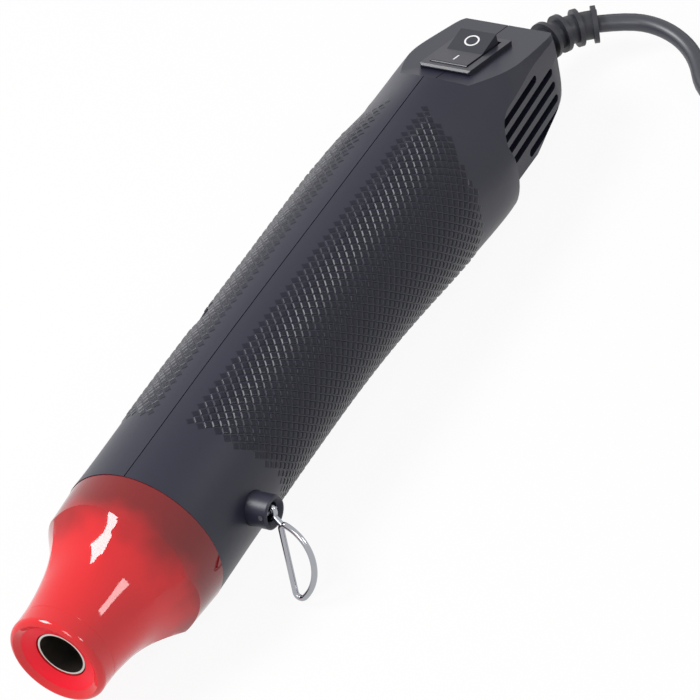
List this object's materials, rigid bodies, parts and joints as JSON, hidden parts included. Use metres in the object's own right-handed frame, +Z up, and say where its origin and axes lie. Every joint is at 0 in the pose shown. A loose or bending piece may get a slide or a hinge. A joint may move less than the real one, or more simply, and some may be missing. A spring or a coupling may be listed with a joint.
{
  "type": "embossing heat tool",
  "caption": "Hand-held embossing heat tool with fluted nozzle cover, knurled body, rocker switch on a sloping platform, hanging ring and cord with plug",
  "frame": {"origin": "middle of the flat under the heel, on the bench", "axes": "+Y towards the cord along the tool, +Z up, air leaves towards -Y, switch on top"},
  "size_m": [0.1046, 0.3635, 0.0432],
  "materials": {
    "cover": "smooth deep red moulding",
    "shell": "dark slate moulding, fine texture",
    "bezel": "dark moulding",
    "rocker": "black moulding",
    "terminal": "bare",
    "lug": "dark moulding",
    "chrome": "bright wire",
    "spring_steel": "bare",
    "label": "bare satin plate",
    "screw": "black oxide",
    "heater_steel": "heat-stained steel",
    "ring": "insulating board",
    "mica": "mica sheet",
    "winding": "resistance wire",
    "fuse": "metal case",
    "duct": "heat-resistant moulding",
    "fan": "black moulding",
    "shaft": "ground steel",
    "armature": "laminated steel and copper",
    "can": "zinc plated",
    "magnet": "ferrite",
    "cap": "moulding",
    "board": "circuit board",
    "diode": "epoxy",
    "capacitor": "sleeved can",
    "cord": "smooth dark jacket",
    "boot": "dark moulded",
    "tie": "black band",
    "plug": "dark moulded"
  },
  "bodies": {
    "housing": {"nozzle_cover": "cover", "left_shell": "shell", "right_shell": "shell", "switch_housing": "bezel", "switch_terminals": "terminal", "ring_lug": "lug", "lug_clip": "spring_steel", "ring_pin": "spring_steel", "label_plate": "label", "case_screws": "screw", "heater_tube": "heater_steel", "barrel_ring_front": "ring", "barrel_ring_rear": "ring", "mica_sleeve": "mica", "heater_board_a": "mica", "heater_board_b": "mica", "heater_winding": "winding", "thermal_fuse": "fuse", "fan_duct": "duct", "motor_can": "can", "motor_magnets": "magnet", "motor_end_cap": "cap", "motor_terminals": "terminal", "motor_screws": "screw", "rectifier_board": "board", "diodes": "diode", "capacitor": "capacitor", "strain_relief": "boot", "cord_clamp": "duct", "clamp_screws": "screw", "inner_cord": "cord", "cord_run": "cord", "cord_coil": "cord", "coil_tie": "tie", "plug_body": "plug", "plug_pins": "terminal"},
    "rocker": {"rocker": "rocker"},
    "rotor": {"fan_impeller": "fan", "motor_shaft": "shaft", "armature": "armature"},
    "ring": {"hang_ring": "chrome"}
  },
  "joints": [
    {"name": "rocker_pivot", "type": "hinge", "parent": "housing", "child": "rocker", "pos_m": [0, 0.02032, 0.03243], "axis": [-1, 0, 0], "range_deg": [0, 19]},
    {"name": "fan_spin", "type": "hinge", "parent": "housing", "child": "rotor", "pos_m": [0, -0.053, 0.021], "axis": [0, 1, 0], "continuous": true},
    {"name": "ring_pivot", "type": "hinge", "parent": "housing", "child": "ring", "pos_m": [0.0249, -0.131, 0.022], "axis": [0, -0.9444, 0.3289], "range_deg": [-3, 85]}
  ]
}
